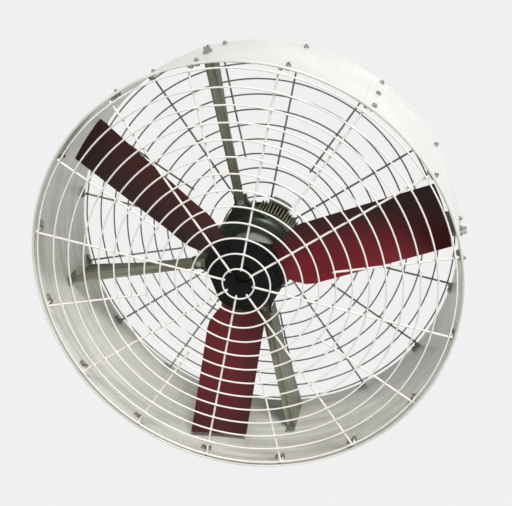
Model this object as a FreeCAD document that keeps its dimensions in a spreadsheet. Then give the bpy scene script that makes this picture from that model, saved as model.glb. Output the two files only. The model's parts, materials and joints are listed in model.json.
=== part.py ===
import FreeCAD, Part
import math
import os
import re

import Sketcher
from FreeCAD import Placement, Rotation, Vector

# Industrial drum air circulator, millimetres.
# The shaft lies along Y, the air leaves towards -Y and +Z is up.
# Turns are measured from +Z, clockwise as seen from the front, so a piece made at the top
# has its tangent along X and its radius along Z.

doc = FreeCAD.newDocument("air_circulator")
sheet = doc.addObject("Spreadsheet::Sheet", "Sizes")

SIZES = {
    # drum
    "drum_radius": 480.0,
    "drum_depth": 295.0,
    "drum_wall": 2.0,
    "hem_width": 11.0,
    "hem_proud": 3.5,
    "hem_round": 1.6,
    "lap_width": 44.0,
    "lap_sheet": 1.5,
    # wire guards
    "guard_proud": 3.0,
    "ring_pitch": 35.6,
    "rim_ring_radius": 465.0,
    "ring_wire": 4.8,
    "spoke_wire": 6.0,
    "weld_sink": 0.8,
    "spoke_stub": 5.0,
    "spoke_bend": 6.0,
    "wall_gap": 0.3,
    "rear_guard_inset": 9.0,
    # guard clips
    "front_clip_setback": 30.0,
    "rear_clip_setback": 20.0,
    "leg_past_clip": 5.0,
    "clip_width": 10.0,
    "clip_sheet": 2.0,
    "clip_bolt_offset": 13.0,
    "clip_bolt": 6.0,
    "clip_bolt_free": 2.0,
    "hole_clearance": 0.2,
    # support arms
    "arm_face_setback": 158.0,
    "arm_width": 21.0,
    "arm_sheet": 3.0,
    "arm_inner": 120.0,
    "arm_web_start": 152.0,
    "arm_web_depth_inner": 68.0,
    "arm_web_bend": 300.0,
    "arm_web_depth_bend": 76.0,
    "arm_web_depth_wall": 118.0,
    "arm_foot_length": 50.0,
    "arm_foot_back": 30.0,
    "arm_foot_left": 10.5,
    "arm_foot_right": 13.0,
    "arm_bolt": 8.0,
    "arm_bolt_spacing": 26.0,
    "arm_bolt_offset": 1.5,
    "arm_bolt_setback": 9.0,
    "stud_end": 7.4,
    "stud_free": 9.0,
    "ear_bolt_radius": 135.0,
    "seat_gap": 0.1,
    "fit_gap": 0.02,
    # motor frame
    "barrel_inner": 88.0,
    "barrel_outer": 95.0,
    "barrel_length": 71.0,
    "fin_radius": 104.0,
    "fin_sheet": 3.2,
    "bell_radius": 103.5,
    "bell_side": 35.0,
    "bell_shoulder": 94.0,
    "bell_edge": 3.0,
    "bell_rise": 4.0,
    "bell_dish": 12.0,
    "bell_nose_radius": 39.0,
    "bell_nose_length": 74.0,
    "bell_wall": 8.0,
    "bell_spigot": 2.0,
    "rear_bell_radius": 98.0,
    "rear_bell_wall": 6.0,
    "rear_nose_length": 11.0,
    "rear_cap_wall": 5.0,
    "ear_sheet": 12.0,
    "ear_reach": 151.0,
    "ear_half_tip": 15.0,
    "ear_half_root": 52.0,
    "ear_root_radius": 88.0,
    "tie_bolt": 6.0,
    "tie_bolt_radius": 97.0,
    "tie_boss": 7.0,
    "tie_bolt_grip": 18.0,
    # motor inside
    "stator_length": 40.0,
    "stator_bore": 54.6,
    "air_gap": 0.6,
    "winding_length": 10.0,
    "winding_inner": 58.0,
    "winding_outer": 82.0,
    "shaft_core": 16.0,
    "shaft_journal": 12.5,
    "shaft_hub": 12.0,
    "bearing_outer": 26.0,
    "bearing_width": 15.0,
    "race_thickness": 3.6,
    "seal_sheet": 1.6,
    "seal_depth": 10.0,
    "seal_length": 7.0,
    "seal_wall": 3.0,
    "seal_gap": 0.3,
    "slot_width": 6.4,
    "slot_bottom": 78.0,
    # fan wheel
    "hub_front_setback": 53.0,
    "hub_front_length": 22.0,
    "hub_rear_length": 23.0,
    "hub_recess": 6.0,
    "hub_round": 5.0,
    "hub_flat": 79.0,
    "hub_corner": 92.0,
    "hub_boss_radius": 30.0,
    "hub_boss_length": 16.0,
    "blade_tip": 459.0,
    "blade_root": 50.0,
    "blade_neck": 93.0,
    "blade_chord": 137.0,
    "blade_root_chord": 86.0,
    "blade_sheet": 3.0,
    "blade_camber": 9.0,
    "blade_full_chord": 150.0,
    "blade_plane_setback": 73.0,
    "twist_start": 192.0,
    "pitch_root": 27.0,
    "pitch_tip": 16.0,
    "blade_bolt": 8.0,
    "blade_bolt_radius": 66.0,
    "blade_bolt_spacing": 40.0,
    "blade_bolt_free": 3.0,
    "key_width": 8.0,
    "key_height": 7.0,
    "hub_screw": 8.0,
    "hub_screw_grip": 20.0,
    "hub_washer_radius": 17.0,
    "hub_washer_sheet": 4.0,
    # terminal box
    "box_turn": 38.4,
    "box_half_turn": 11.6,
    "box_height": 32.0,
    "box_wall": 3.0,
    "box_lid": 3.0,
    "box_start": 36.0,
    "box_length": 34.0,
    "gland_radius": 7.5,
    "gland_length": 13.0,
    "box_screw": 4.0,
    "box_screw_turn": 8.0,
    "box_boss": 4.0,
    "block_half": 9.0,
    "block_height": 9.0,
}

GUARD_RINGS = 12
LONG_SPOKES = 8
SHORT_SPOKE_RING = 6
WIRE_SIDES = 8
ARMS = 4
BLADES = 3
BLADE_TURN = 81.0
FINS_PER_QUARTER = 15
FIN_PITCH = 4.4
STATOR_SLOTS = 24
SEAM_TURN = 45.0
SPOKE_TURN = 180.0 / LONG_SPOKES
TURN = 360.0

for row, (alias, value) in enumerate(SIZES.items(), 1):
    sheet.set(f"A{row}", alias)
    sheet.set(f"B{row}", str(value))
    sheet.setAlias(f"B{row}", alias)
doc.recompute()

parts = []


def size(alias):
    return float(sheet.get(alias))


def bound(text):
    """Turn the sheet's names in a formula into references to its cells."""
    def cell(word):
        return "Sizes." + word.group() if word.group() in SIZES else word.group()

    return re.sub(r"[a-z_]+", cell, text)


# Axial stations that several pieces share, as formulas and as numbers
FRONT_RIM = "(guard_proud - drum_depth) / 2"
REAR_RIM = "(guard_proud + drum_depth) / 2"
ARM_FACE = FRONT_RIM + " + arm_face_setback"
BELL_SEAT = ARM_FACE + " + arm_sheet"
BARREL_FRONT = BELL_SEAT + " + bell_side"
BARREL_REAR = BARREL_FRONT + " + barrel_length"
NOSE_FRONT = BARREL_FRONT + " - bell_nose_length"
NOSE_REAR = BARREL_REAR + " + rear_nose_length"
HUB_FRONT = FRONT_RIM + " + hub_front_setback"
HUB_SPLIT = HUB_FRONT + " + hub_front_length"
HUB_REAR = HUB_SPLIT + " + hub_rear_length"
STATOR_FRONT = BARREL_FRONT + " + (barrel_length - stator_length) / 2"
STATOR_REAR = STATOR_FRONT + " + stator_length"
FRONT_CLIPS = FRONT_RIM + " + front_clip_setback"
REAR_CLIPS = REAR_RIM + " - rear_clip_setback"
SEAM_BOLT = f"({FRONT_CLIPS} + {REAR_CLIPS}) / 2"
WALL_INNER = "drum_radius - hem_proud - drum_wall"
FIRST_ARM_BOLT = ARM_FACE + " - arm_bolt_setback"
ARM_BOLTS = (FIRST_ARM_BOLT, FIRST_ARM_BOLT + " + arm_bolt_spacing")

front_rim = (size("guard_proud") - size("drum_depth")) / 2
rear_rim = (size("guard_proud") + size("drum_depth")) / 2
wall_outer = size("drum_radius") - size("hem_proud")
wall_inner = wall_outer - size("drum_wall")
arm_face = front_rim + size("arm_face_setback")
bell_seat = arm_face + size("arm_sheet")
barrel_front = bell_seat + size("bell_side")
barrel_rear = barrel_front + size("barrel_length")
nose_front = barrel_front - size("bell_nose_length")
nose_rear = barrel_rear + size("rear_nose_length")
hub_front = front_rim + size("hub_front_setback")
hub_split = hub_front + size("hub_front_length")
hub_rear = hub_split + size("hub_rear_length")
blade_plane = front_rim + size("blade_plane_setback")
first_arm_bolt = arm_face - size("arm_bolt_setback")
arm_bolts = (first_arm_bolt, first_arm_bolt + size("arm_bolt_spacing"))
stator_front = barrel_front + (size("barrel_length") - size("stator_length")) / 2
stator_rear = stator_front + size("stator_length")
front_clips = front_rim + size("front_clip_setback")
rear_clips = rear_rim - size("rear_clip_setback")
seam_bolt_y = (front_clips + rear_clips) / 2
front_spokes = front_rim - size("guard_proud") + size("ring_wire") + size("spoke_wire") / 2 - size("weld_sink")
rear_spokes = rear_rim - size("rear_guard_inset")
leg_radius = wall_inner - size("wall_gap") - size("spoke_wire") / 2
box_front = barrel_front + size("box_start")


def turned(angle):
    return Placement(Vector(), Rotation(Vector(0, 1, 0), angle))


def register(obj, label, angle=0.0):
    obj.Label = label
    obj.Placement = turned(angle).multiply(obj.Placement)
    parts.append(obj)
    return obj


def turned_copy(shape, angle):
    copy = shape.copy()
    copy.rotate(Vector(), Vector(0, 1, 0), angle)
    return copy


def feature(label, shape, angle=0.0):
    obj = doc.addObject("Part::Feature", label)
    obj.Shape = shape
    return register(obj, label, angle)


def group(label, shape, angles):
    """Identical pieces, made at the top and repeated round the shaft."""
    return feature(label, Part.makeCompound([turned_copy(shape, angle) for angle in angles]))


def evenly(count, first=0.0):
    return [first + index * TURN / count for index in range(count)]


# Sketch and feature helpers

def new_body(label, angle=0.0):
    return register(doc.addObject("PartDesign::Body", label), label, angle)


def origin_feature(body, role):
    return next(item for item in body.Origin.OriginFeatures if item.Role == role)


def sketch_on(body, role, offset=None):
    sketch = body.newObject("Sketcher::SketchObject", body.Label + "_sketch")
    sketch.AttachmentSupport = [(origin_feature(body, role), "")]
    sketch.MapMode = "FlatFace"
    if offset is not None:
        sketch.setExpression("AttachmentOffset.Base.z", bound(offset))
    return sketch


def pin_point(sketch, geometry, end, x, y):
    for axis, formula in (("DistanceX", x), ("DistanceY", y)):
        index = sketch.addConstraint(Sketcher.Constraint(axis, -1, 1, geometry, end, 1.0))
        sketch.setExpression(f"Constraints[{index}]", bound(formula))


def outline(sketch, corners):
    """A closed outline of straight lines whose corners are formulas."""
    count = len(corners)
    spots = [Vector(math.cos(TAU * i / count), math.sin(TAU * i / count), 0) for i in range(count)]
    for index in range(count):
        sketch.addGeometry(Part.LineSegment(spots[index], spots[(index + 1) % count]))
    for index in range(count):
        following = (index + 1) % count
        sketch.addConstraint(Sketcher.Constraint("Coincident", index, 2, following, 1))
        pin_point(sketch, index, 1, *corners[index])
    return sketch


def circle(sketch, x, y, radius):
    index = sketch.addGeometry(Part.Circle(Vector(1, 1, 0), Vector(0, 0, 1), 1.0))
    pin_point(sketch, index, 3, x, y)
    limit = sketch.addConstraint(Sketcher.Constraint("Radius", index, 1.0))
    sketch.setExpression(f"Constraints[{limit}]", bound(radius))
    return sketch


def revolve(body, corners):
    """A full turn about the shaft of an outline in radius and depth."""
    sketch = outline(sketch_on(body, "XY_Plane"), corners)
    turn = body.newObject("PartDesign::Revolution", body.Label + "_turn")
    turn.Profile = sketch
    turn.ReferenceAxis = (sketch, ["V_Axis"])
    turn.Angle = TURN
    return turn


def pad(body, sketch, length, reverse=False):
    feature_pad = body.newObject("PartDesign::Pad", body.Label + "_pad")
    feature_pad.Profile = sketch
    feature_pad.Reversed = reverse
    feature_pad.setExpression("Length", bound(length))
    return feature_pad


def cut_through(body, sketch, reverse=False, both=False):
    doc.recompute()
    before = body.Shape.Volume
    pocket = body.newObject("PartDesign::Pocket", body.Label + "_cut")
    pocket.Profile = sketch
    pocket.Type = "ThroughAll"
    pocket.Reversed = reverse
    if both:
        pocket.Midplane = True
    doc.recompute()
    if body.Shape.Volume >= before:
        raise RuntimeError(f"{body.Label}: a hole cut nothing")
    return pocket


def cut_blind(body, sketch, depth, reverse=True):
    """A blind pocket, cut towards the front unless it is turned round."""
    doc.recompute()
    before = body.Shape.Volume
    pocket = body.newObject("PartDesign::Pocket", body.Label + "_pocket")
    pocket.Profile = sketch
    pocket.Reversed = reverse
    pocket.setExpression("Length", bound(depth))
    doc.recompute()
    if body.Shape.Volume >= before:
        raise RuntimeError(f"{body.Label}: a pocket cut nothing")
    return pocket


def repeat(body, features, count):
    pattern = body.newObject("PartDesign::PolarPattern", body.Label + "_pattern")
    pattern.Originals = features
    pattern.Axis = (origin_feature(body, "Y_Axis"), [""])
    pattern.Angle = TURN
    pattern.Occurrences = count
    body.Tip = pattern
    return pattern


TAU = 2 * math.pi
HEX_SIDES = 6
HEAD_ACROSS = 1.6
HEAD_HEIGHT = 0.65
NUT_HEIGHT = 0.8


def hexagon(across, height):
    radius = across / math.sqrt(3)
    corners = [Vector(radius * math.cos(TAU * i / HEX_SIDES), radius * math.sin(TAU * i / HEX_SIDES), 0)
               for i in range(HEX_SIDES)]
    return Part.Face(Part.makePolygon(corners + corners[:1])).extrude(Vector(0, 0, height))


def head_reach(diameter):
    return HEAD_ACROSS * diameter / math.sqrt(3)


def bolt(diameter, grip):
    """Hexagon bolt: seat at the origin, shank along +Z."""
    head = hexagon(HEAD_ACROSS * diameter, HEAD_HEIGHT * diameter)
    head.translate(Vector(0, 0, -HEAD_HEIGHT * diameter))
    return head.fuse(Part.makeCylinder(diameter / 2, grip)).removeSplitter()


def nut(diameter):
    """Hexagon nut: seat at the origin, standing along +Z."""
    height = NUT_HEIGHT * diameter
    bore = Part.makeCylinder(diameter / 2 + size("hole_clearance") / 2, height)
    return hexagon(HEAD_ACROSS * diameter, height).cut(bore)


def radial(shape, x, y, z):
    """Set a piece made along +Z at the top of the drum."""
    placed = shape.copy()
    placed.translate(Vector(x, y, z))
    return placed


def inside_seat(x, diameter, radius):
    """Height under which a flat head clears a curved inner face of this radius."""
    return math.sqrt(radius ** 2 - (abs(x) + head_reach(diameter)) ** 2)


def outside_seat(x, diameter):
    """Height at which a flat nut clears the drum's curved outer face."""
    nearest = max(0.0, abs(x) - head_reach(diameter))
    return math.sqrt(wall_outer ** 2 - nearest ** 2)


def lap_outside_seat(x, diameter):
    """Height at which a flat nut clears the lap on the drum's outer face."""
    return outside_seat(x, diameter) + size("lap_sheet") + size("seat_gap")


def axial(shape, x, y, z, forward=False):
    """Lay a piece made along +Z so that it runs along +Y, or along -Y."""
    placed = shape.copy()
    placed.Placement = Placement(Vector(x, y, z), Rotation(Vector(1, 0, 0), 90 if forward else -90))
    return placed


def box(x_low, y_low, z_low, x_high, y_high, z_high):
    return Part.makeBox(x_high - x_low, y_high - y_low, z_high - z_low, Vector(x_low, y_low, z_low))


def tube(outer, inner, y_low, y_high):
    """A ring about the shaft."""
    axis = Vector(0, 1, 0)
    start = Vector(0, y_low, 0)
    ring = Part.makeCylinder(outer, y_high - y_low, start, axis)
    return ring.cut(Part.makeCylinder(inner, y_high - y_low, start, axis))


def sector(outer, inner, y_low, y_high, half_turn):
    """The part of a ring within half_turn degrees of the top."""
    reach = 2 * outer
    corner = Vector(reach * math.sin(math.radians(half_turn)), y_low, reach * math.cos(math.radians(half_turn)))
    mirror = Vector(-corner.x, y_low, corner.z)
    wedge = Part.Face(Part.makePolygon([Vector(0, y_low, 0), corner, mirror, Vector(0, y_low, 0)]))
    return tube(outer, inner, y_low, y_high).common(wedge.extrude(Vector(0, y_high - y_low, 0)))


# Drum: rolled sheet with a hem at each edge and a lapped seam

def make_drum():
    drum = new_body("drum_shell")
    hem_face = "drum_radius - hem_round"
    revolve(drum, [
        (WALL_INNER, FRONT_RIM + " + hem_round"),
        (WALL_INNER + " + hem_round", FRONT_RIM),
        (hem_face, FRONT_RIM),
        ("drum_radius", FRONT_RIM + " + hem_round"),
        ("drum_radius", FRONT_RIM + " + hem_width - hem_round"),
        (hem_face, FRONT_RIM + " + hem_width"),
        ("drum_radius - hem_proud", FRONT_RIM + " + hem_width"),
        ("drum_radius - hem_proud", REAR_RIM + " - hem_width"),
        (hem_face, REAR_RIM + " - hem_width"),
        ("drum_radius", REAR_RIM + " - hem_width + hem_round"),
        ("drum_radius", REAR_RIM + " - hem_round"),
        (hem_face, REAR_RIM),
        (WALL_INNER + " + hem_round", REAR_RIM),
        (WALL_INNER, REAR_RIM + " - hem_round"),
    ])
    clip_hole = "clip_bolt / 2 + hole_clearance"
    for station in (FRONT_CLIPS, REAR_CLIPS):
        hole = circle(sketch_on(drum, "XY_Plane"), "clip_bolt_offset", station, clip_hole)
        repeat(drum, [cut_through(drum, hole, reverse=True)], 2 * LONG_SPOKES)
    seam = circle(sketch_on(drum, "XY_Plane"), "clip_bolt_offset", SEAM_BOLT, clip_hole)
    seam.AttachmentOffset = turned(SEAM_TURN)
    drum.Tip = cut_through(drum, seam, reverse=True)
    arm_hole = "arm_bolt / 2 + hole_clearance"
    for station in ARM_BOLTS:
        hole = circle(sketch_on(drum, "XY_Plane"), "arm_bolt_offset", station, arm_hole)
        repeat(drum, [cut_through(drum, hole, reverse=True)], ARMS)


def make_seam():
    """The lap that closes the drum's seam, held by a bolt of its own between two clip bolts."""
    inner = wall_outer + size("seat_gap")
    low = front_rim + size("hem_width") + size("seat_gap")
    high = rear_rim - size("hem_width") - size("seat_gap")
    half_turn = math.degrees(size("lap_width") / 2 / wall_outer)
    shift = math.degrees(size("clip_bolt_offset") / wall_outer)
    lap = sector(inner + size("lap_sheet"), inner, low, high, half_turn)
    lap.rotate(Vector(), Vector(0, 1, 0), shift)
    offset = size("clip_bolt_offset")
    diameter = size("clip_bolt")
    hole = Part.makeCylinder(diameter / 2 + size("hole_clearance"), 2 * size("drum_radius"))
    for y in (front_clips, seam_bolt_y, rear_clips):
        lap = lap.cut(radial(hole, offset, y, 0))
    feature("drum_seam_lap", lap, SEAM_TURN)
    head_seat = inside_seat(offset, diameter, wall_inner - size("seat_gap"))
    nut_seat = lap_outside_seat(offset, diameter)
    grip = nut_seat - head_seat + NUT_HEIGHT * diameter + size("clip_bolt_free")
    feature("seam_bolt", radial(bolt(diameter, grip), offset, seam_bolt_y, head_seat), SEAM_TURN)
    feature("seam_nut", radial(nut(diameter), offset, seam_bolt_y, nut_seat), SEAM_TURN)


# Wire guards: rings welded across spokes whose ends turn along the drum's wall

def wire_section(radius, centre, normal):
    """Section of drawn wire, flattened on eight sides, with one flat towards each weld."""
    corner = radius / math.cos(TAU / WIRE_SIDES / 2)
    ring = Part.makeCircle(corner, centre, normal)
    half_step = TAU / WIRE_SIDES / 2
    spots = [ring.valueAt(ring.FirstParameter + half_step + TAU * i / WIRE_SIDES) for i in range(WIRE_SIDES)]
    return Part.makePolygon(spots + spots[:1])


def make_guard(label, station, leg_end, facing):
    """Made facing -Y about its spokes' plane, then set at its station."""
    ring_radius = size("ring_wire") / 2
    spoke_radius = size("spoke_wire") / 2
    ring_y = size("weld_sink") - ring_radius - spoke_radius
    bend = size("spoke_bend")
    leg = abs(leg_end - station)
    axis = Vector(0, 1, 0)
    radii = [(index + 1) * size("ring_pitch") for index in range(GUARD_RINGS)] + [size("rim_ring_radius")]
    wires = []
    for radius in radii:
        section = wire_section(ring_radius, Vector(0, ring_y, radius), Vector(1, 0, 0))
        wires.append(Part.Face(section).revolve(Vector(), axis, TURN))
    bend_start = Vector(0, 0, leg_radius - bend)
    bend_middle = bend_start + Vector(0, bend * (1 - math.cos(TAU / 8)), bend * math.sin(TAU / 8))
    bend_end = bend_start + Vector(0, bend, bend)
    first_rings = (SHORT_SPOKE_RING, 1)
    for index in range(2 * LONG_SPOKES):
        start = first_rings[index % 2] * size("ring_pitch") - size("spoke_stub")
        path = Part.Wire([
            Part.LineSegment(Vector(0, 0, start), bend_start).toShape(),
            Part.Arc(bend_start, bend_middle, bend_end).toShape(),
            Part.LineSegment(bend_end, Vector(0, leg, leg_radius)).toShape(),
        ])
        section = wire_section(spoke_radius, Vector(0, 0, start), Vector(0, 0, 1))
        spoke = path.makePipeShell([section], True, False)
        spoke.rotate(Vector(), axis, index * SPOKE_TURN)
        wires.append(spoke)
    guard = feature(label, wires[0].multiFuse(wires[1:]))
    guard.Placement = Placement(Vector(0, station, 0), Rotation(Vector(0, 0, 1), facing))


def make_clips(name, y):
    """Saddle clips over the spoke ends, each with a bolt beside it."""
    spoke_radius = size("spoke_wire") / 2
    gap = size("seat_gap")
    half = size("clip_width") / 2
    offset = size("clip_bolt_offset")
    diameter = size("clip_bolt")
    inside = spoke_radius / math.cos(TAU / WIRE_SIDES / 2) + gap
    outside = inside + size("clip_sheet")
    axis = Vector(0, 1, 0)
    start = Vector(0, y - half, leg_radius)
    far = size("drum_radius")
    tab_seat = math.sqrt((wall_inner - gap) ** 2 - (offset + diameter) ** 2) - size("clip_sheet")
    tab = box(0, y - half, tab_seat, offset + diameter, y + half, far)
    saddle = Part.makeCylinder(outside, 2 * half, start, axis)
    cheeks = box(-outside, y - half, leg_radius, outside, y + half, far)
    groove = Part.makeCylinder(inside, 2 * half, start, axis)
    mouth = box(-inside, y - half, leg_radius, inside, y + half, far)
    hole = radial(Part.makeCylinder(diameter / 2 + size("hole_clearance"), far), offset, y, 0)
    room = Part.makeCylinder(wall_inner - gap, 4 * half, Vector(0, y - 2 * half, 0), axis)
    clip = saddle.fuse([cheeks, tab]).cut([groove, mouth, hole]).common(room).removeSplitter()
    spokes = evenly(2 * LONG_SPOKES)
    group(name + "_guard_clips", clip, spokes)
    nut_seat = outside_seat(offset, diameter)
    lap_seat = lap_outside_seat(offset, diameter)
    grip = lap_seat - tab_seat + NUT_HEIGHT * diameter + size("clip_bolt_free")
    group(name + "_clip_bolts", radial(bolt(diameter, grip), offset, y, tab_seat), spokes)
    nuts = []
    for angle in spokes:
        seat = lap_seat if angle == SEAM_TURN else nut_seat
        nuts.append(turned_copy(radial(nut(diameter), offset, y, seat), angle))
    feature(name + "_clip_nuts", Part.makeCompound(nuts))


# Support arms: folded plates from the motor's ears to the drum's wall

def make_arm(label, angle):
    arm = new_body(label, angle)
    half = "arm_width / 2"
    foot_outer = WALL_INNER + " - seat_gap"
    foot_inner = foot_outer + " - arm_sheet"
    web_end = foot_outer + " - 2 * seat_gap"
    face = outline(sketch_on(arm, "XZ_Plane", f"-({ARM_FACE})"), [
        ("-" + half, "arm_inner"),
        (half, "arm_inner"),
        (half, foot_inner + " + arm_sheet / 2"),
        ("-" + half, foot_inner + " + arm_sheet / 2"),
    ])
    pad(arm, face, "arm_sheet", reverse=True)
    web = outline(sketch_on(arm, "YZ_Plane", "-" + half), [
        (ARM_FACE, "arm_web_start"),
        (ARM_FACE + " + arm_web_depth_inner", "arm_web_start"),
        (ARM_FACE + " + arm_web_depth_bend", "arm_web_bend"),
        (ARM_FACE + " + arm_web_depth_wall", web_end),
        (ARM_FACE, web_end),
    ])
    pad(arm, web, "arm_sheet")
    foot = sketch_on(arm, "XZ_Plane", f"-({ARM_FACE} + arm_foot_back)")
    reach = wall_inner - size("seat_gap")
    start = math.acos(size("arm_foot_right") / reach)
    finish = math.acos(-size("arm_foot_left") / reach)
    for index, (radius, formula) in enumerate(((reach - size("arm_sheet"), foot_inner), (reach, foot_outer))):
        curve = Part.Circle(Vector(), Vector(0, 0, 1), radius)
        foot.addGeometry(Part.ArcOfCircle(curve, start, finish))
        foot.addConstraint(Sketcher.Constraint("Coincident", index, 3, -1, 1))
        limit = foot.addConstraint(Sketcher.Constraint("Radius", index, radius))
        foot.setExpression(f"Constraints[{limit}]", bound(formula))
    sides = ((1, size("arm_foot_right"), "arm_foot_right"), (2, -size("arm_foot_left"), "-arm_foot_left"))
    for index, (end, x, formula) in enumerate(sides, 2):
        spots = [Vector(x, math.sqrt(radius ** 2 - x ** 2), 0) for radius in (reach - size("arm_sheet"), reach)]
        foot.addGeometry(Part.LineSegment(*spots))
        for side, arc in ((1, 0), (2, 1)):
            foot.addConstraint(Sketcher.Constraint("Coincident", index, side, arc, end))
            limit = foot.addConstraint(Sketcher.Constraint("DistanceX", -1, 1, arc, end, x))
            foot.setExpression(f"Constraints[{limit}]", bound(formula))
    pad(arm, foot, "arm_foot_length")
    hole = "arm_bolt / 2 + hole_clearance"
    for station in ARM_BOLTS:
        spot = circle(sketch_on(arm, "XY_Plane"), "arm_bolt_offset", station, hole)
        cut_through(arm, spot, reverse=True)
    cut_through(arm, circle(sketch_on(arm, "XZ_Plane"), "0", "ear_bolt_radius", hole), both=True)


def make_arm_fasteners():
    diameter = size("arm_bolt")
    x = size("arm_bolt_offset")
    head_seat = inside_seat(x, diameter, wall_inner - size("seat_gap") - size("arm_sheet"))
    nut_seat = outside_seat(x, diameter)
    grip = nut_seat - head_seat + NUT_HEIGHT * diameter
    end = Part.makeCylinder(size("stud_end") / 2, size("stud_free"), Vector(0, 0, grip))
    stud = bolt(diameter, grip).fuse(end).removeSplitter()
    bolts = [radial(stud, x, y, head_seat) for y in arm_bolts]
    nuts = [radial(nut(diameter), x, y, nut_seat) for y in arm_bolts]
    group("arm_wall_bolts", Part.makeCompound(bolts), evenly(ARMS))
    group("arm_wall_nuts", Part.makeCompound(nuts), evenly(ARMS))
    grip = size("arm_sheet") + size("ear_sheet") + NUT_HEIGHT * diameter + size("clip_bolt_free")
    ear_back = bell_seat + size("ear_sheet")
    group("arm_ear_bolts", axial(bolt(diameter, grip), 0, arm_face, size("ear_bolt_radius")), evenly(ARMS))
    group("arm_ear_nuts", axial(nut(diameter), 0, ear_back, size("ear_bolt_radius")), evenly(ARMS))


# Motor frame: finned barrel between two cast bells

def make_front_bell():
    bell = new_body("motor_front_bell")
    cavity = "barrel_inner - bell_spigot"
    seal_room = "shaft_journal + seal_wall"
    bearing_room = "bearing_outer + fit_gap"
    bearing_face = NOSE_FRONT + " + seal_depth"
    bearing_end = bearing_face + " + bearing_width + bell_rise"
    revolve(bell, [
        (seal_room, NOSE_FRONT),
        ("bell_nose_radius - bell_edge", NOSE_FRONT),
        ("bell_nose_radius", NOSE_FRONT + " + bell_edge"),
        ("bell_nose_radius + bell_edge", BELL_SEAT + " - bell_wall - bell_dish"),
        ("bell_shoulder - bell_wall", BELL_SEAT + " - bell_wall"),
        ("bell_shoulder", BELL_SEAT + " - bell_rise"),
        ("bell_radius - bell_rise", BELL_SEAT + " + bell_spigot"),
        ("bell_radius", BELL_SEAT + " + bell_wall"),
        ("bell_radius", BARREL_FRONT),
        (cavity, BARREL_FRONT),
        (cavity, BELL_SEAT + " + bell_spigot"),
        ("bell_nose_radius - bell_edge", bearing_end),
        (bearing_room, bearing_end),
        (bearing_room, bearing_face),
        (seal_room, bearing_face),
    ])
    shoulder = "ear_root_radius + (ear_reach - ear_root_radius) / 2"
    ear = outline(sketch_on(bell, "XZ_Plane", f"-({BELL_SEAT})"), [
        ("-ear_half_root", "ear_root_radius"),
        ("ear_half_root", "ear_root_radius"),
        ("ear_half_root / 2", shoulder),
        ("ear_half_tip", "ear_reach - ear_half_tip"),
        ("ear_half_tip", "ear_reach"),
        ("-ear_half_tip", "ear_reach"),
        ("-ear_half_tip", "ear_reach - ear_half_tip"),
        ("-ear_half_root / 2", shoulder),
    ])
    repeat(bell, [pad(bell, ear, "ear_sheet", reverse=True)], ARMS)
    seat = sketch_on(bell, "XZ_Plane", f"-({BELL_SEAT})")
    spot_face = circle(seat, "0", "tie_bolt_radius", "tie_bolt + bell_spigot / 2")
    repeat(bell, [cut_through(bell, spot_face, reverse=True)], ARMS)
    ear_hole = "arm_bolt / 2 + hole_clearance"
    tie_hole = "tie_bolt / 2 + hole_clearance"
    for radius, hole in (("ear_bolt_radius", ear_hole), ("tie_bolt_radius", tie_hole)):
        spot = circle(sketch_on(bell, "XZ_Plane"), "0", radius, hole)
        repeat(bell, [cut_through(bell, spot, both=True)], ARMS)


def make_rear_bell():
    bell = new_body("motor_rear_bell")
    cavity = "barrel_inner - bell_spigot"
    flange_face = BARREL_REAR + " + rear_bell_wall"
    bearing_room = "bearing_outer + fit_gap"
    cap_floor = NOSE_REAR + " - rear_cap_wall"
    bearing_mouth = cap_floor + " - bearing_width"
    revolve(bell, [
        ("0", NOSE_REAR),
        ("bell_nose_radius - bell_edge", NOSE_REAR),
        ("bell_nose_radius", NOSE_REAR + " - bell_edge"),
        ("bell_nose_radius", flange_face),
        ("rear_bell_radius - bell_edge", flange_face),
        ("rear_bell_radius", flange_face + " - bell_edge"),
        ("rear_bell_radius", BARREL_REAR),
        (cavity, BARREL_REAR),
        (cavity + " - bell_spigot", BARREL_REAR + " + bell_rise / 2"),
        ("bell_nose_radius - bell_edge", bearing_mouth),
        (bearing_room, bearing_mouth),
        (bearing_room, cap_floor),
        ("0", cap_floor),
    ])
    lug = circle(sketch_on(bell, "XZ_Plane", f"-({BARREL_REAR})"), "0", "tie_bolt_radius", "tie_boss")
    repeat(bell, [pad(bell, lug, "rear_bell_wall", reverse=True)], ARMS)
    spot = circle(sketch_on(bell, "XZ_Plane"), "0", "tie_bolt_radius", "tie_bolt / 2 + hole_clearance")
    repeat(bell, [cut_through(bell, spot, both=True)], ARMS)


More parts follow.
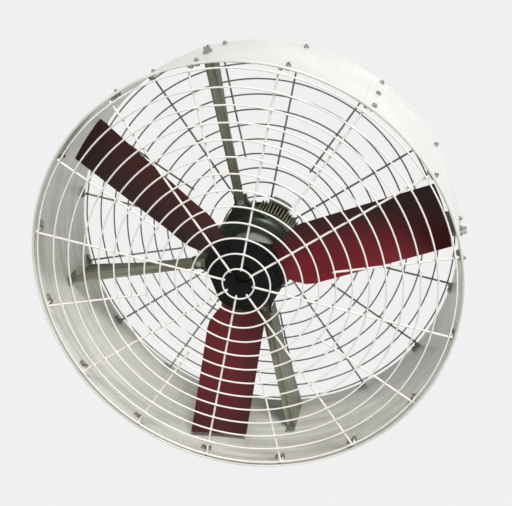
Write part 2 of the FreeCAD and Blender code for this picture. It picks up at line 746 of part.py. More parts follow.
def make_barrel():
    """Cast tube with axial fins in the four quarters and a rib for the bolts at each arm."""
    half = size("fin_sheet") / 2
    fins = []
    fin = box(-half, barrel_front, size("barrel_inner") + half, half, barrel_rear, size("fin_radius"))
    for quarter in evenly(ARMS, TURN / ARMS / 2):
        for index in range(FINS_PER_QUARTER):
            fins.append(turned_copy(fin, quarter + (index - (FINS_PER_QUARTER - 1) / 2) * FIN_PITCH))
    tube_body = tube(size("barrel_outer"), size("barrel_inner"), barrel_front, barrel_rear)
    box_room = sector(2 * size("fin_radius"), size("barrel_outer"), box_front - size("box_wall"),
                      barrel_rear + size("box_wall"), size("box_half_turn") + FIN_PITCH / 2)
    depth = size("tie_bolt_grip") + size("bell_edge")
    drill = Part.makeCylinder(size("tie_bolt") / 2 + size("hole_clearance"), depth)
    radius = size("tie_bolt_radius")
    rib = axial(Part.makeCylinder(size("tie_boss"), size("barrel_length")), 0, barrel_front, radius)
    bore = Part.makeCylinder(size("barrel_inner"), size("barrel_length"), Vector(0, barrel_front, 0), Vector(0, 1, 0))
    fins += [turned_copy(rib, angle).cut(bore) for angle in evenly(ARMS)]
    holes = []
    for angle in evenly(ARMS):
        holes.append(turned_copy(axial(drill, 0, barrel_front, radius), angle))
        holes.append(turned_copy(axial(drill, 0, barrel_rear, radius, forward=True), angle))
    barrel = tube_body.multiFuse(fins).cut([turned_copy(box_room, size("box_turn"))] + holes)
    feature("motor_barrel", barrel)
    grip = size("tie_bolt_grip")
    front = bolt(size("tie_bolt"), grip + size("bell_side"))
    rear = bolt(size("tie_bolt"), grip + size("rear_bell_wall"))
    rear_face = barrel_rear + size("rear_bell_wall")
    group("front_bell_bolts", axial(front, 0, bell_seat, radius), evenly(ARMS))
    group("rear_bell_bolts", axial(rear, 0, rear_face, radius, forward=True), evenly(ARMS))


# Motor inside: slotted stator with its coils, rotor, bearings, seal and shaft

def make_stator():
    core = new_body("stator_core")
    back = "barrel_inner - fit_gap"
    revolve(core, [
        ("stator_bore", STATOR_FRONT),
        (back, STATOR_FRONT),
        (back, STATOR_REAR),
        ("stator_bore", STATOR_REAR),
    ])
    slot = outline(sketch_on(core, "XZ_Plane"), [
        ("-slot_width / 2", "winding_inner"),
        ("slot_width / 2", "winding_inner"),
        ("slot_width / 2", "slot_bottom"),
        ("-slot_width / 2", "slot_bottom"),
    ])
    repeat(core, [cut_through(core, slot, both=True)], STATOR_SLOTS)
    half = size("slot_width") / 2 - size("fit_gap")
    low = size("winding_inner") + size("fit_gap")
    bar = box(-half, stator_front, low, half, stator_rear, size("slot_bottom") - size("fit_gap"))
    length = size("winding_length")
    ends = [tube(size("winding_outer"), size("winding_inner"), y, y + length)
            for y in (stator_front - length, stator_rear)]
    bars = [turned_copy(bar, angle) for angle in evenly(STATOR_SLOTS)]
    feature("stator_windings", ends[0].multiFuse(ends[1:] + bars))
    rotor = new_body("rotor_core")
    face = "stator_bore - air_gap"
    revolve(rotor, [
        ("shaft_core + fit_gap", STATOR_FRONT),
        (face, STATOR_FRONT),
        (face, STATOR_REAR),
        ("shaft_core + fit_gap", STATOR_REAR),
    ])


def make_bearing(name, face, y):
    """A closed bearing: two rings with a lip seal at each side between them."""
    end = face + " + bearing_width"
    outer = new_body(name + "_bearing_outer_race")
    outer_bore = "bearing_outer - race_thickness"
    revolve(outer, [(outer_bore, face), ("bearing_outer", face), ("bearing_outer", end), (outer_bore, end)])
    inner = new_body(name + "_bearing_inner_race")
    inner_bore = "shaft_journal + fit_gap"
    inner_face = "shaft_journal + race_thickness"
    revolve(inner, [(inner_bore, face), (inner_face, face), (inner_face, end), (inner_bore, end)])
    sheet_width = size("seal_sheet")
    rim = size("bearing_outer") - size("race_thickness") - size("fit_gap")
    lip = size("shaft_journal") + size("race_thickness") + size("seal_gap")
    sides = (y, y + size("bearing_width") - sheet_width)
    lips = [tube(rim, lip, side, side + sheet_width) for side in sides]
    feature(name + "_bearing_seals", Part.makeCompound(lips))


def make_shaft():
    shaft = new_body("shaft", BLADE_TURN)
    front_shoulder = NOSE_FRONT + " + seal_depth + bearing_width"
    rear_shoulder = NOSE_REAR + " - rear_cap_wall - bearing_width"
    nose = HUB_FRONT + " + hub_recess"
    journal_start = HUB_REAR + " + hub_boss_length + bell_edge"
    revolve(shaft, [
        ("0", nose),
        ("shaft_hub - bell_edge / 3", nose),
        ("shaft_hub", nose + " + bell_edge / 3"),
        ("shaft_hub", journal_start),
        ("shaft_journal", journal_start),
        ("shaft_journal", front_shoulder),
        ("shaft_core", front_shoulder),
        ("shaft_core", rear_shoulder),
        ("shaft_journal", rear_shoulder),
        ("shaft_journal", rear_shoulder + " + bearing_width - bell_edge / 3"),
        ("0", rear_shoulder + " + bearing_width - bell_edge / 3"),
    ])
    keyway = outline(sketch_on(shaft, "XZ_Plane", f"-({HUB_REAR} + hub_boss_length)"), [
        ("-key_width / 2", "shaft_hub - key_height / 2"),
        ("key_width / 2", "shaft_hub - key_height / 2"),
        ("key_width / 2", "shaft_hub + key_height"),
        ("-key_width / 2", "shaft_hub + key_height"),
    ])
    cut_through(shaft, keyway, reverse=True)
    tapped = circle(sketch_on(shaft, "XZ_Plane", f"-({nose})"), "0", "0", "hub_screw / 2 + fit_gap")
    cut_blind(shaft, tapped, "hub_screw_grip + bell_edge", reverse=False)
    seal = new_body("shaft_seal")
    seal_front = NOSE_FRONT + " + bell_edge / 3"
    bore = "shaft_journal + seal_gap"
    rim = "shaft_journal + seal_wall - fit_gap"
    revolve(seal, [
        (bore, seal_front),
        (rim, seal_front),
        (rim, seal_front + " + seal_length"),
        (bore, seal_front + " + seal_length"),
    ])


# Fan wheel: two hub halves that grip three twisted blades

def blade_section(radius, chord, pitch):
    """A cambered sheet section standing across the blade's length at the top."""
    half = chord / 2
    lean = math.radians(pitch)
    thickness = size("blade_sheet")
    camber = size("blade_camber") * chord / size("blade_chord")
    across = Vector(-math.cos(lean), math.sin(lean), 0)
    back = Vector(math.sin(lean), math.cos(lean), 0)
    centre = Vector(0, blade_plane, radius)

    def spot(along, depth):
        return centre + across * along + back * depth

    front_arc = Part.Arc(spot(-half, 0), spot(0, camber), spot(half, 0)).toShape()
    rear_arc = Part.Arc(spot(half, thickness), spot(0, camber + thickness), spot(-half, thickness)).toShape()
    lead = Part.LineSegment(spot(half, 0), spot(half, thickness)).toShape()
    trail = Part.LineSegment(spot(-half, thickness), spot(-half, 0)).toShape()
    return Part.Wire([front_arc, lead, rear_arc, trail])


def make_blade():
    """A sheet with straight edges, narrow where the hub grips it and flatter towards its tip."""
    root = size("blade_root")
    neck = size("blade_neck")
    full = size("blade_full_chord")
    twist_start = size("twist_start")
    tip = size("blade_tip")
    past_tip = tip + size("blade_sheet")
    sections = []
    third = (full - neck) / 3
    for radius in (root, neck, neck + third, full - third, full, twist_start, (twist_start + tip) / 2, past_tip):
        twist = max(0.0, (radius - twist_start) / (tip - twist_start))
        pitch = size("pitch_root") + twist * (size("pitch_tip") - size("pitch_root"))
        widening = math.sin(min(1.0, max(0.0, (radius - neck) / (full - neck))) * TAU / 4)
        chord = size("blade_root_chord") + widening * (size("blade_chord") - size("blade_root_chord"))
        sections.append(blade_section(radius, chord, pitch))
    reach = Part.makeCylinder(tip, size("drum_depth"), Vector(0, front_rim, 0), Vector(0, 1, 0))
    return Part.makeLoft(sections, True, True).common(reach)


def hub_block(low, high):
    """Three-sided block with round corners, one flat between each pair of blades."""
    corner = size("hub_corner")
    block = Part.makeCylinder(corner, high - low, Vector(0, low, 0), Vector(0, 1, 0))
    slab = box(-corner, low, size("hub_flat"), corner, high, 2 * corner)
    return block.cut([turned_copy(slab, angle) for angle in evenly(BLADES, TURN / BLADES / 2)])


def make_wheel():
    diameter = size("blade_bolt")
    radius = size("blade_bolt_radius")
    sides = (-size("blade_bolt_spacing") / 2, size("blade_bolt_spacing") / 2)
    blade = make_blade()
    drill = Part.makeCylinder(diameter / 2 + size("hole_clearance"), size("drum_depth"))
    holes = [axial(drill, x, front_rim, radius) for x in sides]
    drilled = blade.cut(holes)
    for index, angle in enumerate(evenly(BLADES, BLADE_TURN), 1):
        feature(f"blade_{index}", drilled.copy(), angle)
    cuts = [turned_copy(piece, angle) for angle in evenly(BLADES) for piece in [blade] + holes]
    axis = Vector(0, 1, 0)
    floor = hub_front + size("hub_recess")
    boss_end = hub_rear + size("hub_boss_length")
    bore = Part.makeCylinder(size("shaft_hub") + size("fit_gap"), boss_end - floor, Vector(0, floor, 0), axis)
    key_half = size("key_width") / 2
    key_top = size("shaft_hub") + size("key_height") / 2
    key_room = box(-key_half, floor, 0, key_half, boss_end, key_top + size("fit_gap"))
    recess = Part.makeCylinder(size("hub_washer_radius") + size("hub_washer_sheet"), size("hub_recess"),
                               Vector(0, hub_front, 0), axis)
    front = hub_block(hub_front, hub_split)
    rim = [edge for edge in front.Edges if edge.BoundBox.YMax < hub_front + size("fit_gap")]
    front = front.makeFillet(size("hub_round"), rim)
    feature("hub_front_half", front.cut(cuts + [bore, key_room, recess]), BLADE_TURN)
    boss = Part.makeCylinder(size("hub_boss_radius"), size("hub_boss_length"), Vector(0, hub_rear, 0), axis)
    rear = hub_block(hub_split, hub_rear).fuse(boss)
    feature("hub_rear_half", rear.cut(cuts + [bore, key_room]), BLADE_TURN)
    key = box(-key_half, floor + size("hub_washer_sheet"), size("shaft_hub") - size("key_height") / 2,
              key_half, boss_end, key_top)
    feature("hub_key", key, BLADE_TURN)
    grip = hub_rear - hub_front + NUT_HEIGHT * diameter + size("blade_bolt_free")
    bolts = Part.makeCompound([axial(bolt(diameter, grip), x, hub_front, radius) for x in sides])
    nuts = Part.makeCompound([axial(nut(diameter), x, hub_rear, radius) for x in sides])
    group("blade_bolts", bolts, evenly(BLADES, BLADE_TURN))
    group("blade_nuts", nuts, evenly(BLADES, BLADE_TURN))
    washer_front = floor - size("hub_washer_sheet")
    washer = tube(size("hub_washer_radius"), size("hub_screw") / 2 + size("hole_clearance"), washer_front, floor)
    feature("hub_washer", washer, BLADE_TURN)
    screw = bolt(size("hub_screw"), size("hub_screw_grip"))
    feature("hub_screw", axial(screw, 0, washer_front, 0), BLADE_TURN)


# Terminal box on the barrel

def make_terminal_box():
    low = box_front
    high = low + size("box_length")
    floor = size("barrel_outer") + size("seat_gap")
    top = floor + size("box_height")
    wall = size("box_wall")
    turn = size("box_half_turn")
    lid_face = top + size("box_lid")
    boss_turns = (-size("box_screw_turn"), size("box_screw_turn"))
    middle = (low + high) / 2
    gland_z = (floor + top) / 2
    thread = 0.7 * size("gland_radius")
    drill = radial(Part.makeCylinder(size("box_screw") / 2 + size("fit_gap"), lid_face), 0, middle, floor + wall)
    drills = [turned_copy(drill, angle) for angle in boss_turns]
    shell = sector(top, floor, low, high, turn)
    room = sector(top + wall, floor + wall, low + wall, high - wall, turn - math.degrees(wall / floor))
    boss = radial(Part.makeCylinder(size("box_boss"), size("box_height")), 0, middle, floor + wall / 2)
    inside = sector(top, floor, low, high, turn)
    bosses = [turned_copy(boss, angle).common(inside) for angle in boss_turns]
    gland_hole = axial(Part.makeCylinder(thread + size("fit_gap"), 2 * wall), 0, high - 1.5 * wall, gland_z)
    shell = shell.cut([room, gland_hole]).fuse(bosses).cut(drills)
    feature("terminal_box", shell.removeSplitter(), size("box_turn"))
    lid = sector(lid_face, top, low - size("seat_gap"), high + size("seat_gap"), turn)
    feature("terminal_box_lid", lid.cut(drills), size("box_turn"))
    head = Part.makeCylinder(0.9 * size("box_screw"), 0.6 * size("box_screw"))
    shank = Part.makeCylinder(size("box_screw") / 2, size("box_lid") + size("box_height") / 2)
    shank.translate(Vector(0, 0, -size("box_lid") - size("box_height") / 2))
    screw = radial(head.fuse(shank).removeSplitter(), 0, middle, lid_face)
    group("terminal_lid_screws", screw, [size("box_turn") + angle for angle in boss_turns])
    length = size("gland_length")
    collar = hexagon(2 * size("gland_radius"), length / 2)
    stem = Part.makeCylinder(0.8 * size("gland_radius"), length)
    stub = Part.makeCylinder(thread, wall, Vector(0, 0, -wall))
    bore = Part.makeCylinder(0.45 * size("gland_radius"), length + wall, Vector(0, 0, -wall))
    feature("cable_gland", axial(collar.fuse([stem, stub]).cut(bore), 0, high, gland_z), size("box_turn"))
    half = size("block_half")
    block = box(-half, low + 2 * wall, floor, half, high - 3 * wall, floor + wall + size("block_height"))
    seat = Part.makeCylinder(floor + wall, size("drum_depth"), Vector(0, front_rim, 0), Vector(0, 1, 0))
    feature("terminal_block", block.cut(seat), size("box_turn"))


def build():
    make_drum()
    make_seam()
    make_guard("front_guard", front_spokes, front_clips + size("leg_past_clip"), 0)
    make_guard("rear_guard", rear_spokes, rear_clips - size("leg_past_clip"), 180)
    make_clips("front", front_clips)
    make_clips("rear", rear_clips)
    for index, side in enumerate(("top", "right", "bottom", "left")):
        make_arm("arm_" + side, index * TURN / ARMS)
    make_arm_fasteners()
    make_front_bell()
    make_rear_bell()
    make_barrel()
    make_stator()
    make_bearing("front", NOSE_FRONT + " + seal_depth", nose_front + size("seal_depth"))
    make_bearing("rear", NOSE_REAR + " - rear_cap_wall - bearing_width",
                 nose_rear - size("rear_cap_wall") - size("bearing_width"))
    make_shaft()
    make_wheel()
    make_terminal_box()


build()
doc.recompute()
for obj in doc.Objects:
    if "Invalid" in obj.State or "Error" in obj.State:
        raise RuntimeError(f"{obj.Label} failed: {obj.State}")
for obj in parts:
    if obj.Shape.isNull() or not obj.Shape.isValid():
        raise RuntimeError(f"{obj.Label} has no valid shape")
os.makedirs("parts", exist_ok=True)
for obj in parts:
    obj.Shape.exportStep(f"parts/{obj.Label}.step")
    print(obj.Label, len(obj.Shape.Solids), round(obj.Shape.Volume / 1000, 1))
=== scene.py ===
import json
import math

import bmesh
import bpy
from mathutils import Matrix, Vector


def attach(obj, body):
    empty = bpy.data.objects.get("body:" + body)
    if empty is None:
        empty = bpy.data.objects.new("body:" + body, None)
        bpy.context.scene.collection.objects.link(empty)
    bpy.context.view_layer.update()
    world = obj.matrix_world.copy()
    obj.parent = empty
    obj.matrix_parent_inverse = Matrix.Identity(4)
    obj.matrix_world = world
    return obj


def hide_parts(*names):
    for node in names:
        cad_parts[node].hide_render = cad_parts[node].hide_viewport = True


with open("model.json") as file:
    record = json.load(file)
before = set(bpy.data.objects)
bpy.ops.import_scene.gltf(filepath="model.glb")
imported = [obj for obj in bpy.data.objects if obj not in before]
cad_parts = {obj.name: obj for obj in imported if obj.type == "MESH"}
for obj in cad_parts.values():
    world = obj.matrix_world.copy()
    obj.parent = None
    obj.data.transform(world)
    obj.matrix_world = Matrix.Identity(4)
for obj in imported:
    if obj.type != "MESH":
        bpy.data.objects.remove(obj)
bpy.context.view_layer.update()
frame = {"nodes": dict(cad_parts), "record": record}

# Sizes are in metres and stand in the solids' frame: the shaft lies along Y, with the front at -Y.
# Turns are in degrees, clockwise from the top as seen from the front.

# Drum
DRUM_RADIUS = 0.480
WALL_OUTER = 0.4765
WALL_INNER = 0.4745
FRONT_RIM = -0.146
REAR_RIM = 0.149
HEM = 0.011
FOLD_ROUNDING = 0.0022
LIP_ROUNDING = 0.0010
DRUM_STEPS = 192

# Guards
RINGS = 12
RING_PITCH = 0.0356
RIM_RING = 0.465
RING_WIRE = 0.0037
RING_STEPS = 112
RING_LIFT = 0.0036
SPOKES = 16
SPOKE_WIRE = 0.0047
SPOKE_STUB = 0.005
SHORT_SPOKE_RING = 6
FRONT_SPOKES = -0.143
FRONT_LEG_END = -0.111
REAR_SPOKES = 0.140
REAR_LEG_END = 0.124
LEG_RADIUS = 0.4717
BEND = 0.006
BEND_STEPS = 6
WIRE_SIDES = 12
WELD_SPOT = (0.0042, 0.0016, 0.0034)

# Fan wheel. Each blade has an amount of painted shade, and a shift of the painted shade's edge from the
# blade's middle line.
BLADES = 3
BLADE_TURN = 81
BLADE_PITCH = 360 / BLADES
# Painted shade per blade: the third blade, at the upper left, is painted darkest, where the light reaches it
# least.
BLADE_PAINTED_SHADE = ((0.0, 0.0), (0.25, -0.05), (0.65, 0.0))
HUB_WALL = 0.0775
HUB_DRAFT_START = -0.0890
HUB_REAR = -0.0480
HUB_LOBE = 0.85
HUB_LOBE_TURN = 25
HUB_WAIST = 0.73
HUB_WAIST_TURN = 50
HUB_DRAFT_CURVE = 0.7

# Motor and terminal box
FIN_OUTER = 0.1005
FIN_PEAK = 0.1165
FIN_START = 0.078
FIN_END = 0.087
BOX_TURN = 38.4
FIN_HALF_TURN = 13.6
BOX_SEAT = 0.100
BOX_SHARE = 0.68
SCREW_DROP = 0.0096
GLAND_DROP = 0.0035

# Softened edges
FASTENER_EDGE = 0.0004
FIN_EDGE = 0.0005
BLADE_EDGE = 0.0006
PLATE_EDGE = 0.0007
COVER_EDGE = 0.0008
BELL_EDGE = 0.0012
BELL_SHARP_TURN = 24
SHARP_TURN = 32
DRUM_SHARP_TURN = 40
WIRE_SHARP_TURN = 60
FLAT_TURN = 0.5
JOIN = 1e-6
SAME_PLACE = 1e-4

# Studio
FLOOR_HEIGHT = -2.6
FLOOR_REACH = 400.0
FLOOR_TONE = 0.68
SKY_TONE = 0.87
OVERHEAD_TONE = 0.12
SKY_FADE = (0.30, 0.37)
KEY_POWER = 4.2
KEY_SPREAD = 18
KEY_FROM = (0.44, -0.42, 0.83)

# Camera
SENSOR = 36.0
LENS = 57.81
SHIFT = (-0.0150, 0.0235)
CAMERA_PLACE = (0.5120, -1.7363, 0.6506)
CAMERA_RIGHT = (0.9602, 0.1909, -0.2037)
CAMERA_UP = (0.1173, 0.3861, 0.9149)
CAMERA_BACK = (0.2533, -0.9025, 0.3483)

ROTOR = set(frame["record"]["behaviour"]["bodies"]["rotor"])


def body_of(node):
    return "rotor" if node in ROTOR else "stand"


# Finishes

class Value:
    """A number from a node, on which plain sums add Math nodes."""

    def __init__(self, finish, socket):
        self.finish = finish
        self.socket = socket

    def math(self, operation, first, second):
        return self.finish.node("ShaderNodeMath", {"operation": operation}, {0: first, 1: second})

    def __add__(self, other):
        return self.math("ADD", self, other)

    def __radd__(self, other):
        return self.math("ADD", other, self)

    def __sub__(self, other):
        return self.math("SUBTRACT", self, other)

    def __rsub__(self, other):
        return self.math("SUBTRACT", other, self)

    def __mul__(self, other):
        return self.math("MULTIPLY", self, other)

    def __rmul__(self, other):
        return self.math("MULTIPLY", other, self)

    def __pow__(self, other):
        return self.math("POWER", self, other)


class Finish:
    """A material whose surface is one Principled shader."""

    def __init__(self, name):
        self.material = bpy.data.materials.new(name)
        self.material.use_nodes = True
        self.tree = self.material.node_tree
        self.shader = self.tree.nodes["Principled BSDF"]
        self.place = self.node("ShaderNodeTexCoord", output="Object")

    def node(self, kind, settings=None, values=None, output=0):
        """A node of any kind, with its settings made first and then its sockets fed."""
        made = self.tree.nodes.new(kind)
        for name, setting in (settings or {}).items():
            setattr(made, name, setting)
        for name, value in (values or {}).items():
            self.feed(made.inputs[name], value)
        return Value(self, made.outputs[output])

    def feed(self, socket, value):
        if isinstance(value, Value):
            self.tree.links.new(value.socket, socket)
        else:
            socket.default_value = value

    def set(self, **values):
        for name, value in values.items():
            self.feed(self.shader.inputs[name.replace("_", " ")], value)

    def stretched(self, x, y, z):
        """Object coordinates with a scale of their own along each axis."""
        return self.node("ShaderNodeVectorMath", {"operation": "MULTIPLY"}, {0: self.place, 1: (x, y, z)})

    def noise(self, scale, detail=3.0, roughness=0.55, place=None):
        return self.node("ShaderNodeTexNoise", None, {
            "Vector": place or self.place, "Scale": scale, "Detail": detail, "Roughness": roughness})

    def axis(self, name):
        return self.node("ShaderNodeSeparateXYZ", None, {0: self.place}, output=name)

    def radius(self):
        """Distance from the shaft's line."""
        across, up = self.axis("X"), self.axis("Z")
        return (across * across + up * up) ** 0.5

    def ramp(self, value, low, high):
        """0 below low, 1 above high, smooth between."""
        return self.node("ShaderNodeMapRange", {"interpolation_type": "SMOOTHSTEP"}, {
            "Value": value, "From Min": low, "From Max": high})

    def mix(self, share, first, second):
        return self.node("ShaderNodeMix", {"data_type": "RGBA"}, {
            0: share, 6: colour(first), 7: colour(second)}, output=2)

    def bump(self, height, strength, distance, below=None):
        values = {"Height": height, "Strength": strength, "Distance": distance}
        if below is not None:
            values["Normal"] = below
        return self.node("ShaderNodeBump", None, values)


def colour(value):
    return value if isinstance(value, Value) else (*value, 1.0)


def linear(red, green, blue):
    """Linear colour from display values of 0 to 255."""
    def decode(level):
        level /= 255
        return level / 12.92 if level <= 0.04045 else ((level + 0.055) / 1.055) ** 2.4
    return decode(red), decode(green), decode(blue)


def drum_sheet():
    """White coat outside. Inside and on the rims, a pale grey sheet marked along the way it was rolled."""
    f = Finish("drum_sheet")
    radius = f.radius()
    middle, half_depth = (FRONT_RIM + REAR_RIM) / 2, (REAR_RIM - FRONT_RIM) / 2
    from_middle = f.node("ShaderNodeMath", {"operation": "ABSOLUTE"}, {0: f.axis("Y") - middle})
    below_hem = 1 - f.ramp(radius, DRUM_RADIUS - 0.0010, DRUM_RADIUS - 0.0003)
    at_rim = f.ramp(from_middle, half_depth - 0.0023, half_depth - 0.0013) * below_hem
    inside = 1 - f.ramp(radius, WALL_INNER + 0.0005, WALL_INNER + 0.0013)
    bare = f.node("ShaderNodeMath", {"operation": "MAXIMUM"}, {0: inside, 1: at_rim})
    rolled = f.noise(1.0, 5.0, 0.62, f.stretched(3.0, 70.0, 3.0))
    drawn = f.noise(1.0, 4.0, 0.6, f.stretched(26.0, 3.0, 26.0))
    clouds = f.noise(6.0, 3.0)
    coat = f.mix(f.ramp(clouds, 0.35, 0.75), linear(206, 206, 203), linear(217, 217, 214))
    sheet = f.mix(f.ramp(rolled, 0.25, 0.75), linear(184, 184, 174), linear(219, 219, 212))
    sheet = f.mix(f.ramp(drawn, 0.50, 0.78) * 0.6, sheet, linear(176, 175, 162))
    weather = f.noise(2.6, 4.0, 0.6)
    sheet = f.mix(f.ramp(weather, 0.48, 0.66) * 0.4, sheet, linear(178, 177, 158))
    peel = f.noise(260.0, 2.0)
    marks = f.bump(rolled * 0.7 + drawn * 0.3, 0.22, 0.0012, f.bump(peel, 0.08, 0.0006))
    f.set(Base_Color=f.mix(bare, coat, sheet), Roughness=0.36 + bare * (rolled * 0.18 - 0.13))
    f.set(Metallic=bare * 0.2, Normal=marks)
    return f.material


def guard_coat(name, light, dark, chalky):
    """Powder coat over wire: thicker in patches, with a fine orange peel."""
    f = Finish(name)
    cover = f.noise(38.0, 4.0, 0.6)
    specks = f.noise(420.0, 2.0)
    shade = f.mix(f.ramp(cover, 0.4, 0.75), light, dark)
    f.set(Base_Color=shade, Roughness=chalky + specks * 0.14, Normal=f.bump(specks, 0.12, 0.0004))
    return f.material


def folded_plate(name, across):
    """Dull passivated sheet, with mill lines along its length, stains in patches, and painted shade
    darkening it towards the motor.
    """
    f = Finish(name)
    lines = f.noise(1.0, 5.0, 0.65, f.stretched(*across))
    clouds = f.noise(16.0, 5.0, 0.62)
    # Painted shade near the motor, where the arms lie in shadow.
    motor_shade = 1 - f.ramp(f.radius(), 0.12, 0.30)
    base = f.mix(f.ramp(lines, 0.3, 0.72), linear(94, 95, 74), linear(158, 158, 142))
    base = f.mix(f.ramp(clouds, 0.42, 0.72) * 0.6, base, linear(104, 105, 80))
    base = f.mix(motor_shade * 0.6, base, linear(74, 71, 46))
    f.set(Base_Color=base, Metallic=0.35, Roughness=0.38 + lines * 0.22, Normal=f.bump(lines, 0.15, 0.0005))
    return f.material


def casting_enamel(name, light, dark, gloss, shine):
    """Enamel over a sand casting: grainy, and worn in patches."""
    f = Finish(name)
    grain = f.noise(300.0, 3.0)
    wear = f.noise(24.0, 5.0, 0.65)
    base = f.mix(f.ramp(wear, 0.35, 0.72), dark, light)
    f.set(Base_Color=base, Roughness=gloss + grain * 0.16, Normal=f.bump(grain, 0.25, 0.0008))
    f.set(Specular_IOR_Level=shine)
    return f.material


def bell_enamel():
    """The casting's enamel, with pale patches in the dish around the nose."""
    f = Finish("bell_enamel")
    grain = f.noise(300.0, 3.0)
    wear = f.noise(24.0, 5.0, 0.65)
    radius = f.radius()
    dish = f.ramp(radius, 0.042, 0.047) * (1 - f.ramp(radius + wear * 0.012, 0.064, 0.074))
    # Pale patches in the dish around the nose.
    pale_patch = dish * f.ramp(wear, 0.30, 0.50)
    base = f.mix(f.ramp(wear, 0.35, 0.72), linear(33, 41, 31), linear(46, 56, 42))
    base = f.mix(pale_patch, base, linear(174, 175, 169))
    f.set(Base_Color=base, Roughness=0.28 + grain * 0.16 + pale_patch * 0.1, Normal=f.bump(grain, 0.25, 0.0008))
    return f.material


def finned_enamel():
    """The casting's enamel, painted paler along the outer edges of the fins: painted light on the fin tops,
    with the gaps between them left dark.
    """
    f = Finish("fin_enamel")
    grain = f.noise(300.0, 3.0)
    wear = f.noise(30.0, 5.0, 0.65)
    base = f.mix(f.ramp(wear, 0.35, 0.72), linear(60, 66, 52), linear(84, 90, 72))
    # Painted light on the fin tops.
    base = f.mix(f.ramp(f.radius() + wear * 0.004, 0.0950, 0.1030), base, linear(172, 168, 142))
    f.set(Base_Color=base, Roughness=0.46 + grain * 0.16, Normal=f.bump(grain, 0.25, 0.0008))
    f.set(Specular_IOR_Level=0.35)
    return f.material


def blade_enamel(name, angle, painted_shade, shade_shift):
    """Dark red enamel with painted shade: darker along the leading edge and towards the tip, where the blade
    lies in shade, and darker all over by the blade's amount of painted shade.
    """
    f = Finish(name)
    clouds = f.noise(9.0, 4.0, 0.6)
    fine = f.noise(160.0, 3.0)
    sine, cosine = math.sin(math.radians(angle)), math.cos(math.radians(angle))
    behind_middle = f.axis("X") * cosine - f.axis("Z") * sine
    # Painted shadow of the drum's wall towards the tip.
    tip = f.ramp(f.radius(), 0.28, 0.45)
    # Painted shade: the lit red lies behind the blade's middle line, the dark red along the leading edge.
    lit_edge = f.ramp(behind_middle + clouds * 0.06 - shade_shift, -0.035, 0.095)
    lit_share = lit_edge * (1 - tip * 0.55) * (1 - painted_shade)
    # Lit and shaded reds of the one paint.
    base = f.mix(lit_share, linear(46, 20, 22), linear(105, 19, 26))
    base = f.mix(f.ramp(fine, 0.55, 0.8) * 0.25, base, linear(56, 19, 21))
    f.set(Base_Color=base, Roughness=0.42 + fine * 0.12, Normal=f.bump(fine, 0.06, 0.0005))
    f.set(Specular_IOR_Level=0.24)
    return f.material


def plated(name, light, dark, metal):
    """Plated or ground metal, mottled."""
    f = Finish(name)
    spots = f.noise(220.0, 4.0, 0.65)
    base = f.mix(f.ramp(spots, 0.35, 0.7), dark, light)
    f.set(Base_Color=base, Metallic=metal, Roughness=0.32 + spots * 0.22, Normal=f.bump(spots, 0.12, 0.0003))
    return f.material


# Modelling helpers

def finish_piece(name, mesh, material, node):
    """A piece that stands for a node and rides on the node's body."""
    piece = bpy.data.objects.new(name, mesh)
    bpy.context.scene.collection.objects.link(piece)
    mesh.materials.clear()
    mesh.materials.append(material)
    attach(piece, body_of(node))
    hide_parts(node)
    return piece


def to_mesh(bm, name, sharp):
    """A smooth mesh with its sharp edges marked."""
    bmesh.ops.recalc_face_normals(bm, faces=bm.faces)
    limit = math.radians(sharp)
    for face in bm.faces:
        face.smooth = True
    for edge in bm.edges:
        edge.smooth = len(edge.link_faces) == 2 and edge.calc_face_angle(0.0) < limit
    mesh = bpy.data.meshes.new(name)
    bm.to_mesh(mesh)
    bm.free()
    return mesh


def dress(node, material, edge, sharp=SHARP_TURN, shape=None):
    """The node's own form, joined up, with its edges softened, in a finish of its own."""
    bm = bmesh.new()
    bm.from_mesh(frame["nodes"][node].data)
    bmesh.ops.remove_doubles(bm, verts=bm.verts, dist=JOIN)
    if shape:
        shape(bm)
    bmesh.ops.dissolve_limit(bm, angle_limit=math.radians(FLAT_TURN), verts=bm.verts, edges=bm.edges)
    piece = finish_piece(node + "_dressed", to_mesh(bm, node, sharp), material, node)
    soft = piece.modifiers.new("soft_edges", "BEVEL")
    soft.width = edge
    soft.segments = 2
    soft.limit_method = "ANGLE"
    soft.angle_limit = math.radians(sharp)


def smooth_step(low, high, value):
    share = min(1.0, max(0.0, (value - low) / (high - low)))
    return share * share * (3 - 2 * share)


def draw_in_sides(bm):
    """The hub's casting draws in behind its front face, least where the blade bolts come through."""
    for vert in bm.verts:
        radius = math.hypot(vert.co.x, vert.co.z)
        if radius < HUB_WALL or vert.co.y < HUB_DRAFT_START:
            continue
        angle = math.degrees(math.atan2(vert.co.x, vert.co.z))
        off_blade = abs((angle - BLADE_TURN + BLADE_PITCH / 2) % BLADE_PITCH - BLADE_PITCH / 2)
        waist = smooth_step(HUB_LOBE_TURN, HUB_WAIST_TURN, off_blade)
        rear = HUB_LOBE + (HUB_WAIST - HUB_LOBE) * waist
        share = (vert.co.y - HUB_DRAFT_START) / (HUB_REAR - HUB_DRAFT_START)
        scale = 1 + (rear - 1) * min(1.0, share) ** HUB_DRAFT_CURVE
        vert.co.x *= scale
        vert.co.z *= scale


def set_radius(vert, radius):
    scale = radius / math.hypot(vert.co.x, vert.co.z)
    vert.co.x *= scale
    vert.co.z *= scale


def lower_box(bm):
    """The terminal box sits low behind the fins."""
    for vert in bm.verts:
        radius = math.hypot(vert.co.x, vert.co.z)
        if radius > BOX_SEAT:
            set_radius(vert, BOX_SEAT + (radius - BOX_SEAT) * BOX_SHARE)


def lower_by(drop):
    """Small pieces follow the lowered box."""
    def shape(bm):
        for vert in bm.verts:
            set_radius(vert, math.hypot(vert.co.x, vert.co.z) - drop)
    return shape


